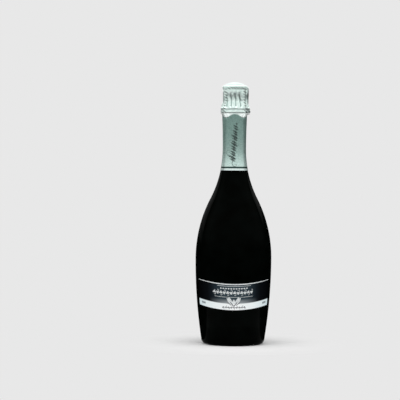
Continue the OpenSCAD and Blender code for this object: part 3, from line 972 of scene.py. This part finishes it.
# Screen ink: dark green, dull, and thick enough to stand a little proud of the foil.
foil_ink = surface("dull_screen_ink_green")
place = add(foil_ink, "TexCoord")
thin = add(foil_ink, "TexNoise", {"Vector": (place, "Object"), "Scale": 1 / 0.0009, "Detail": 4.0})
colour = add(foil_ink, "ValToRGB", {"Fac": thin}, stops=[(0.3, "#101D1A"), (0.7, "#23342F")])
shader = add(foil_ink, "BsdfPrincipled", {"Base Color": colour, "Roughness": 0.6, "Specular IOR Level": 0.3})
add(foil_ink, "OutputMaterial", {"Surface": shader})

skirt = piece("capsule_skirt_foil", *thin_sheet(skirt_line, 360, skirt_move), green_foil, 50)
# Marks the tuck as bare: pale foil, with a painted reflection of the floor that makes it near white.
mark(skirt, "bare", skirt_line, lambda a, row: 1.0 if row < lip_rows + bend_rows - 2 else 0.0)
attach(skirt, "bottle")
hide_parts("capsule_skirt")


def stroke(path, width, lay, relief=0.035):
    """A raised flat stroke along [s, t] points. width is in mm, or a function of the place from 0 to 1."""
    points = []
    count = len(path)
    for i, (s, t) in enumerate(path):
        ahead, behind = path[min(i + 1, count - 1)], path[max(i - 1, 0)]
        run = (ahead[0] - behind[0], ahead[1] - behind[1])
        size = math.hypot(*run) or 1.0
        half = (width(i / (count - 1)) if callable(width) else width) / 2
        across = (-run[1] / size * half, run[0] / size * half)
        for side, lift in ((-1, -0.02), (-0.9, relief), (0.9, relief), (1, -0.02)):
            points.append(lay(s + side * across[0], t + side * across[1], lift))
    return points, bar_faces(count, 4)


def leaf(s, t, degrees, length, wide, lay):
    """A pointed leaf of two blades with a bare midrib, from its stalk at [s, t]."""
    parts = []
    ahead = (math.cos(math.radians(degrees)), math.sin(math.radians(degrees)))
    side = (-ahead[1], ahead[0])
    for hand in (-1, 1):
        path = []
        for i in range(9):
            u = i / 8
            bow = hand * (0.27 * wide * math.sin(math.pi * u ** 0.8) + 0.03 * wide)
            path.append((
                s + ahead[0] * length * u + side[0] * bow, t + ahead[1] * length * u + side[1] * bow))
        parts.append(stroke(path, lambda u: 0.03 + 0.5 * wide * math.sin(math.pi * u ** 0.8) * 0.94, lay))
    return parts


def tendril(s, t, degrees, size, hand, wide, lay):
    """A thin curl that winds inward to one side."""
    path = []
    heading = math.radians(degrees)
    for i in range(22):
        path.append((s, t))
        step = size * 0.17 * (1 - i / 30)
        heading += hand * (0.08 + 0.021 * i)
        s += step * math.cos(heading)
        t += step * math.sin(heading)
    return stroke(path, lambda u: wide * (1 - 0.65 * u), lay)


def on_skirt(s, t, lift):
    """A place on the skirt's front: s across and t up from its lower edge, in mm."""
    z = capsule_low + t
    r = glass_radius(z) + foil_gap + foil_t
    a = -math.pi / 2 + s / neck_r
    r += skirt_ripple(a + 2 * math.pi, z) * (ripple_h + ink_clear)
    return (r + lift) * math.cos(a), (r + lift) * math.sin(a), z


def skirt_stem(u):
    return (-2.6 + 4.4 * u + 0.4 * math.sin(math.pi * (0.3 + 14 * u)), 11.5 + 44.5 * u)


vine = [stroke([skirt_stem(i / 140) for i in range(141)], lambda u: 0.36 - 0.1 * u, on_skirt)]
for k in range(14):
    u = (k + 0.4) / 14
    size = 1.0 - 0.15 * u + (0.35 if k in (1, 6, 9) else 0.0)
    s, t = skirt_stem(u)
    vine += leaf(s + 3.2 * size, t - 1.9 * size, 149, 8.2 * size, 1.9 * size, on_skirt)
    vine.append(tendril(*skirt_stem(u + 0.035), 35, 2.3 * size, 1 if k % 2 else -1, 0.4, on_skirt))
vine += leaf(*skirt_stem(1.0), 78, 3.2, 1.2, on_skirt)
vine.append(tendril(*skirt_stem(0.1), 175, 8.4, -1, 0.65, on_skirt))
vine.append(tendril(*skirt_stem(0.0), 250, 5.6, 1, 0.6, on_skirt))
vine_print = piece("skirt_vine_print", *joined(vine), foil_ink, 30)
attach(vine_print, "bottle")


# Front label: coated paper, printed midnight blue and cut in a shallow smile. Bright foil is stamped
# along both long edges, with rules, a vine, rows of lozenges and a spray of leaves between them.
cut_r = 186.0
paper_t = 0.15
front_w, front_h, front_z = 110.0, 32.0, 45.0


def on_label(centre, low, high):
    """A function that lays [s, t, lift] in mm on a label: s along its curve and t below its top edge."""
    def lay(s, t, lift):
        a = math.radians(centre) + s / belly_r
        x = belly_r * math.sin(s / belly_r)
        z = low + high + cut_r - math.sqrt(cut_r ** 2 - x * x) - t
        r = glass_radius(z) + glue_gap + paper_t + lift
        r += 0.025 * noise.noise(Vector((s / 8, t / 8, centre)))
        return r * math.cos(a), r * math.sin(a), z
    return lay


def label_sheet(name, wide, high, lay, material):
    """The paper, with each point's place on the label kept in the attribute print, in metres."""
    columns, rows = round(wide), round(high / 2)
    places = [
        (wide * (i / columns - 0.5), high * j / rows) for i in range(columns + 1) for j in range(rows + 1)]
    upper = [lay(s, t, 0.0) for s, t in places]
    lower = [lay(s, t, -paper_t) for s, t in places]
    made = piece(name, *shell(lower, upper, columns, rows), material, 30)
    print_at = made.data.attributes.new("print", "FLOAT_VECTOR", "POINT")
    for i, (s, t) in enumerate(places + places):
        print_at.data[i].vector = Vector((s, t, 0)) * MM
    return made


# Coated label paper: midnight blue ink under a satin varnish, with painted light: the blue lifts to grey in
# the middle and falls to near black at both ends. The lower band is printed in silver, with a painted
# highlight that makes it white in the middle.
front_paper = surface("satin_coated_paper_blue")
at = add(front_paper, "Attribute", attribute_name="print")
parts = add(front_paper, "SeparateXYZ", {"Vector": (at, "Vector")})
wide = add(front_paper, "Math", {0: (parts, "X"), 1: 0.055}, operation="DIVIDE")
from_middle = add(front_paper, "Math", {0: wide}, operation="ABSOLUTE")
# Painted light: lighter grey in the middle of the front, and near black towards both ends, which turn away.
blue_with_painted_shade = add(front_paper, "ValToRGB", {"Fac": from_middle}, stops=[
    (0.0, "#38454C"), (1.0, "#010204"), (0.3, "#323F46"), (0.42, "#1E2930"), (0.55, "#0C1319"),
    (0.66, "#04070B")])
depth = add(front_paper, "MapRange", {"Value": (parts, "Y"), "From Min": 0.0, "From Max": 0.032})
haze = add(front_paper, "ValToRGB", {"Fac": depth}, stops=[
    (0.58, 0.0), (0.76, 0.62), (0.66, 0.3), (0.72, 0.46)])
side = add(front_paper, "ValToRGB", {"Fac": from_middle}, stops=[
    (0.0, 1.0), (0.6, 0.0), (0.16, 0.85), (0.32, 0.5), (0.46, 0.2)])
spread = add(front_paper, "Math", {0: haze, 1: side}, operation="MULTIPLY")
band = add(front_paper, "MapRange", {"Value": (parts, "Y"), "From Min": 0.0238, "From Max": 0.0246})
fibre = add(front_paper, "TexNoise", {"Vector": (at, "Vector"), "Scale": 1 / 0.0008, "Detail": 5.0})
hazed = add(front_paper, "MixRGB", {"Fac": spread, "Color1": blue_with_painted_shade, "Color2": linear("#D5DADC")})
# Painted highlight: the silver band is white in the middle and greyer towards the ends.
silver_with_painted_highlight = add(front_paper, "ValToRGB", {"Fac": from_middle}, stops=[
    (0.0, "#FCFEFE"), (1.0, "#D2E2E6"), (0.5, "#F0F7F8")])
colour = add(front_paper, "MixRGB", {"Fac": band, "Color1": hazed, "Color2": silver_with_painted_highlight})
relief = add(front_paper, "Bump", {"Height": fibre, "Strength": 0.12, "Distance": 0.00003})
gloss = add(front_paper, "ValToRGB", {"Fac": fibre}, stops=[(0.3, 0.42), (0.7, 0.55)])
shader = add(front_paper, "BsdfPrincipled", {
    "Base Color": colour, "Roughness": gloss, "Specular IOR Level": 0.03, "Normal": relief})
add(front_paper, "OutputMaterial", {"Surface": shader})

# Hot-stamped foil: bright silver, pressed on with a hot die, so it has a hard edge and a mirror shine
# that the paper's grain breaks up a little.
stamped = surface("hot_stamped_silver_foil")
place = add(stamped, "TexCoord")
grain = add(stamped, "TexNoise", {"Vector": (place, "Object"), "Scale": 1 / 0.0012, "Detail": 4.0})
colour = add(stamped, "ValToRGB", {"Fac": grain}, stops=[(0.3, "#DFE5E6"), (0.7, "#F6F9F9")])
gloss = add(stamped, "ValToRGB", {"Fac": grain}, stops=[(0.3, 0.3), (0.7, 0.42)])
shader = add(stamped, "BsdfPrincipled", {"Base Color": colour, "Metallic": 0.4, "Roughness": gloss})
add(stamped, "OutputMaterial", {"Surface": shader})

# Dark offset ink: near black blue and dull, printed over the silver band.
label_ink = surface("dull_offset_ink_blue")
place = add(label_ink, "TexCoord")
thin = add(label_ink, "TexNoise", {"Vector": (place, "Object"), "Scale": 1 / 0.0007, "Detail": 4.0})
colour = add(label_ink, "ValToRGB", {"Fac": thin}, stops=[(0.3, "#1E252E"), (0.7, "#39424C")])
shader = add(label_ink, "BsdfPrincipled", {
    "Base Color": colour, "Roughness": 0.55, "Specular IOR Level": 0.3})
add(label_ink, "OutputMaterial", {"Surface": shader})


def rule(s0, s1, t, width, lay):
    """A straight rule between two places along the label."""
    count = max(2, round(abs(s1 - s0) / 1.2))
    return stroke([(s0 + (s1 - s0) * i / count, t) for i in range(count + 1)], width, lay)


def lozenges(s0, s1, t, pitch, high, lay):
    """A row of lozenges with a small one between each two."""
    parts = []
    count = round((s1 - s0) / pitch)
    for i in range(count + 1):
        s = s0 + (s1 - s0) * i / count
        half = 0.34 * pitch
        parts.append(stroke(
            [(s - half, t), (s, t), (s + half, t)], lambda u: 0.05 + high * (1 - abs(2 * u - 1)), lay))
        if i < count:
            s += pitch / 2
            half = 0.1 * pitch
            parts.append(stroke(
                [(s - half, t), (s, t), (s + half, t)], lambda u: 0.04 + high * 0.34 * (1 - abs(2 * u - 1)),
                lay))
    return parts


def frieze(s0, s1, t, pitch, high, wide, lay):
    """A vine in waves, with a leaf and a curl on each bend."""
    parts = []
    count = round((s1 - s0) / pitch)
    pitch = (s1 - s0) / count

    def wave(s):
        return t + 0.16 * high * math.sin(math.pi * (s - s0) / pitch)

    steps = count * 8
    path = [(s0 + (s1 - s0) * i / steps, wave(s0 + (s1 - s0) * i / steps)) for i in range(steps + 1)]
    parts.append(stroke(path, wide, lay))
    for k in range(count):
        s = s0 + pitch * (k + 0.42)
        hand = -1 if k % 2 else 1
        parts += leaf(s, wave(s), -hand * 62, 0.62 * high, 0.4 * high, lay)
        s = s0 + pitch * (k + 0.85)
        parts.append(tendril(s, wave(s), hand * 55, 0.42 * high, hand, wide * 0.8, lay))
    return parts


def spray(s, t, reach, high, lay):
    """Two branches that rise apart from one point, with leaves in pairs, and three leaves between them."""
    parts = []
    for hand in (-1, 1):
        def branch(u):
            return (s + hand * reach * (0.12 + 0.88 * u) * (1 - 0.18 * u * u), t - high * u ** 0.85)
        parts.append(stroke([branch(i / 16) for i in range(17)], lambda u: 0.5 - 0.2 * u, lay))
        for k in range(5):
            u = 0.2 + 0.17 * k
            at, to = branch(u), branch(u + 0.02)
            heading = math.degrees(math.atan2(to[1] - at[1], to[0] - at[0]))
            size = 0.42 * high - 0.04 * high * abs(k - 2)
            parts += leaf(*at, heading + 42, size, size * 0.6, lay)
            parts += leaf(*at, heading - 42, size, size * 0.6, lay)
    for turn, size in ((-90, 0.62), (-122, 0.42), (-58, 0.42)):
        parts += leaf(s, t - 0.3 * high, turn, size * high, size * high * 0.42, lay)
    return parts


front_lay = on_label(-90, front_z, front_h)
front = label_sheet("front_label_paper", front_w, front_h, front_lay, front_paper)
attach(front, "bottle")
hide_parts("front_label")
edge_line = stroke(
    [(-54.6 + 109.2 * i / 90, 0.7) for i in range(91)],
    lambda u: 0.45 + 0.85 * math.sin(math.pi * u) ** 0.6, front_lay)
bright = [edge_line, rule(-21.5, 21.5, 3.0, 0.4, front_lay), rule(-25, 25, 16.4, 0.35, front_lay)]
bright += lozenges(-16.5, 16.5, 5.9, 3.3, 2.0, front_lay)
bright += frieze(-28, 24.6, 11.0, 4.4, 5.6, 0.6, front_lay)
bright += spray(0, 26.6, 8.2, 8.6, front_lay)
front_foil = piece("front_label_foil", *joined(bright), stamped, 30)
dark = frieze(-15.5, 15.5, 28.9, 3.3, 3.3, 0.5, front_lay)
dark += lozenges(-47.5, -41.5, 27.6, 2.0, 4.0, front_lay)
dark += lozenges(43, 49, 27.6, 2.0, 4.0, front_lay)
for hand in (-1, 1):
    dark.append(stroke([(hand * (0.3 + 0.5 * i), 27.3 - 0.62 * i) for i in range(9)], 0.95, front_lay, 0.06))
    dark.append(stroke([(hand * (3.0 + 0.6 * i), 26.2 - 0.4 * i) for i in range(9)], 0.75, front_lay, 0.06))
front_ink = piece("front_label_ink", *joined(dark), label_ink, 30)
for print_piece in (front_foil, front_ink):
    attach(print_piece, "bottle")


# Back label: the same paper and foil, with a frame of two rules, a spray of leaves, and lozenges and
# vines where such a label has its small print.
back_w, back_h, back_z = 62.0, 46.0, 42.0
back_lay = on_label(90, back_z, back_h)

# Coated label paper again, all in midnight blue, with a slow change of shade from the press.
back_paper = surface("satin_coated_paper_plain")
at = add(back_paper, "Attribute", attribute_name="print")
shade = add(back_paper, "TexNoise", {"Vector": (at, "Vector"), "Scale": 1 / 0.02, "Detail": 2.0})
fibre = add(back_paper, "TexNoise", {"Vector": (at, "Vector"), "Scale": 1 / 0.0008, "Detail": 5.0})
colour = add(back_paper, "ValToRGB", {"Fac": shade}, stops=[(0.3, "#0B121C"), (0.7, "#151E2B")])
gloss = add(back_paper, "ValToRGB", {"Fac": fibre}, stops=[(0.3, 0.42), (0.7, 0.55)])
relief = add(back_paper, "Bump", {"Height": fibre, "Strength": 0.12, "Distance": 0.00003})
shader = add(back_paper, "BsdfPrincipled", {
    "Base Color": colour, "Roughness": gloss, "Specular IOR Level": 0.3, "Normal": relief})
add(back_paper, "OutputMaterial", {"Surface": shader})

back = label_sheet("back_label_paper", back_w, back_h, back_lay, back_paper)
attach(back, "bottle")
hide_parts("back_label")
frame_lines = []
for inset, width in ((1.6, 0.7), (2.9, 0.3)):
    side = back_w / 2 - inset
    frame_lines.append(rule(-side, side, inset, width, back_lay))
    frame_lines.append(rule(-side, side, back_h - inset, width, back_lay))
    for s in (-side, side):
        frame_lines.append(stroke(
            [(s, inset + (back_h - 2 * inset) * i / 20) for i in range(21)], width, back_lay))
frame_lines += spray(0, 15.0, 10.5, 8.2, back_lay)
frame_lines += frieze(-24, 24, 21.0, 4.0, 4.2, 0.4, back_lay)
for k in range(4):
    frame_lines += lozenges(-22 + 3 * k, 22 - 3 * k, 27.5 + 3.4 * k, 2.2, 1.2, back_lay)
frame_lines.append(rule(-8, 8, 41.0, 0.3, back_lay))
back_foil = piece("back_label_foil", *joined(frame_lines), stamped, 30)
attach(back_foil, "bottle")


# Studio: a plain pale floor that runs into a backdrop of the same grey, a broad lamp straight overhead, and
# black, grey and white boards round the bottle, for the glass and the foil to mirror.
paper = "#E8E8E8"
world = bpy.data.worlds.new("studio")
bpy.context.scene.world = world
world.use_nodes = True
world.node_tree.nodes.clear()
ray = add(world, "LightPath")
seen = add(world, "MixRGB", {
    "Fac": (ray, "Is Camera Ray"), "Color1": linear("#FFFFFF"), "Color2": linear(paper)})
glow = add(world, "Background", {"Color": seen, "Strength": 1.0})
add(world, "OutputWorld", {"Surface": glow})

# Matt floor paper: soft and even. Round the foot it passes into the backdrop's grey.
floor_paper = surface("matt_floor_paper")
place = add(floor_paper, "TexCoord")
away = add(floor_paper, "VectorMath", {0: (place, "Object")}, operation="LENGTH")
fade = add(floor_paper, "MapRange", {
    "Value": (away, "Value"), "From Min": 0.05, "From Max": 0.15}, interpolation_type="SMOOTHSTEP")
matt = add(floor_paper, "BsdfDiffuse", {"Color": linear("#E2E2E2"), "Roughness": 1.0})
even = add(floor_paper, "Emission", {"Color": linear(paper), "Strength": 1.0})
mixed = add(floor_paper, "MixShader", {0: fade, 1: matt, 2: even})
add(floor_paper, "OutputMaterial", {"Surface": mixed})
floor_line = [(0, 0), (150, 0), (600, 0), (9000, 0)]
floor = piece("floor", *turned(floor_line, 48), floor_paper)
floor.data.flip_normals()

# Black board: matt, takes no light.
black_board = surface("matt_black_board")
dull = add(black_board, "Emission", {"Color": linear("#000000"), "Strength": 0.0})
add(black_board, "OutputMaterial", {"Surface": dull})

# White board that glows, with painted light as if lit from above: dark at its foot, white from a third of its
# height on, dimmer to the back.
glowing_board_painted_light = surface("glowing_white_board_painted_light")
place = add(glowing_board_painted_light, "TexCoord")
parts = add(glowing_board_painted_light, "SeparateXYZ", {"Vector": (place, "Object")})
height = add(glowing_board_painted_light, "MapRange", {"Value": (parts, "Z"), "From Min": 0.0, "From Max": 1.4})
shade = add(glowing_board_painted_light, "ValToRGB", {"Fac": height}, stops=[
    (0.0, 0.08), (1.0, 1.0), (0.13, 0.14), (0.19, 0.6), (0.23, 0.78), (0.36, 1.0)])
side = add(glowing_board_painted_light, "MapRange", {"Value": (parts, "Y"), "From Min": 0.45, "From Max": -0.05})
lit = add(glowing_board_painted_light, "Emission", {"Color": shade, "Strength": side})
add(glowing_board_painted_light, "OutputMaterial", {"Surface": lit})

# Grey board behind that glows, with painted light that makes it lighter above and to the left.
graded_board = surface("graded_grey_board")
place = add(graded_board, "TexCoord")
parts = add(graded_board, "SeparateXYZ", {"Vector": (place, "Object")})
upper = add(graded_board, "MapRange", {
    "Value": (parts, "Z"), "From Min": 0.33, "From Max": 0.5, "To Max": 0.85})
left = add(graded_board, "MapRange", {
    "Value": (parts, "X"), "From Min": -0.1, "From Max": -0.8, "To Max": 0.6})
high = add(graded_board, "MapRange", {
    "Value": (parts, "Z"), "From Min": 0.29, "From Max": 0.31, "To Min": 0.4})
side = add(graded_board, "Math", {0: left, 1: high}, operation="MULTIPLY")
shade = add(graded_board, "Math", {0: upper, 1: side}, operation="MAXIMUM")
lit = add(graded_board, "Emission", {"Color": linear("#FFFFFF"), "Strength": shade})
add(graded_board, "OutputMaterial", {"Surface": lit})

# White board, evenly lit. One stands behind the head and one lies on the floor in front.
bright_board = surface("bright_white_board")
lit = add(bright_board, "Emission", {"Color": linear("#FFFFFF"), "Strength": 1.25})
add(bright_board, "OutputMaterial", {"Surface": lit})


def board(name, start, end, line, material):
    """A board bent round the bottle between two angles in degrees, with a line of [radius, height] in mm."""
    count = 24
    turns = [math.radians(start + (end - start) * i / count) for i in range(count + 1)]
    points = [(r * math.cos(a), r * math.sin(a), z) for r, z in line for a in turns]
    faces = [
        (row + i, row + i + 1, row + count + 2 + i, row + count + 1 + i)
        for row in range(0, (count + 1) * (len(line) - 1), count + 1) for i in range(count)]
    made = piece(name, points, faces, material)
    made.visible_camera = False
    made.visible_diffuse = False
    made.visible_shadow = False
    return made


board("board_front", -210, 30, [(1000, 2), (1000, 1400)], glowing_board_painted_light)
board("board_floor_front", -180, 0, [(350, 1), (1005, 1)], black_board)
board("board_floor_near", -180, 0, [(110, 1), (340, 1)], bright_board)
board("board_floor_back", 0, 180, [(52, 1), (1010, 1), (1010, 200)], black_board)
board("board_back", 0, 180, [(1010, 200), (1010, 700)], graded_board)
board("board_behind_head", 40, 140, [(300, 330), (300, 800)], bright_board)


def lamp(name, place, aim, size, power):
    """A square area lamp aimed at a point, in mm."""
    data = bpy.data.lights.new(name, "AREA")
    data.shape = "RECTANGLE"
    data.size, data.size_y = size[0] * MM, size[1] * MM
    data.energy = power
    made = bpy.data.objects.new(name, data)
    bpy.context.collection.objects.link(made)
    made.location = Vector(place) * MM
    made.rotation_euler = (Vector(aim) - Vector(place)).to_track_quat("-Z", "Y").to_euler()
    return made


lamp("key", (0, 0, 1600), (0, 0, 200), (1200, 1200), 7)

# The camera stands level with the upper shoulder, 2.2 m away, and looks a little down.
camera_data = bpy.data.cameras.new("camera")
camera = bpy.data.objects.new("camera", camera_data)
bpy.context.collection.objects.link(camera)
bpy.context.scene.camera = camera
distance = 2200.0
view_w = 496.0
eye_z = 216.0
aim_z = 178.0
aside = -42.4
camera_data.sensor_width = 36.0
camera_data.lens = 36.0 * distance / view_w
camera.location = Vector((aside, -distance, eye_z)) * MM
tilt = math.pi / 2 - math.atan((eye_z - aim_z) / distance)
camera.rotation_euler = (tilt, math.radians(-0.46), 0)
bpy.context.scene.view_settings.view_transform = "Standard"
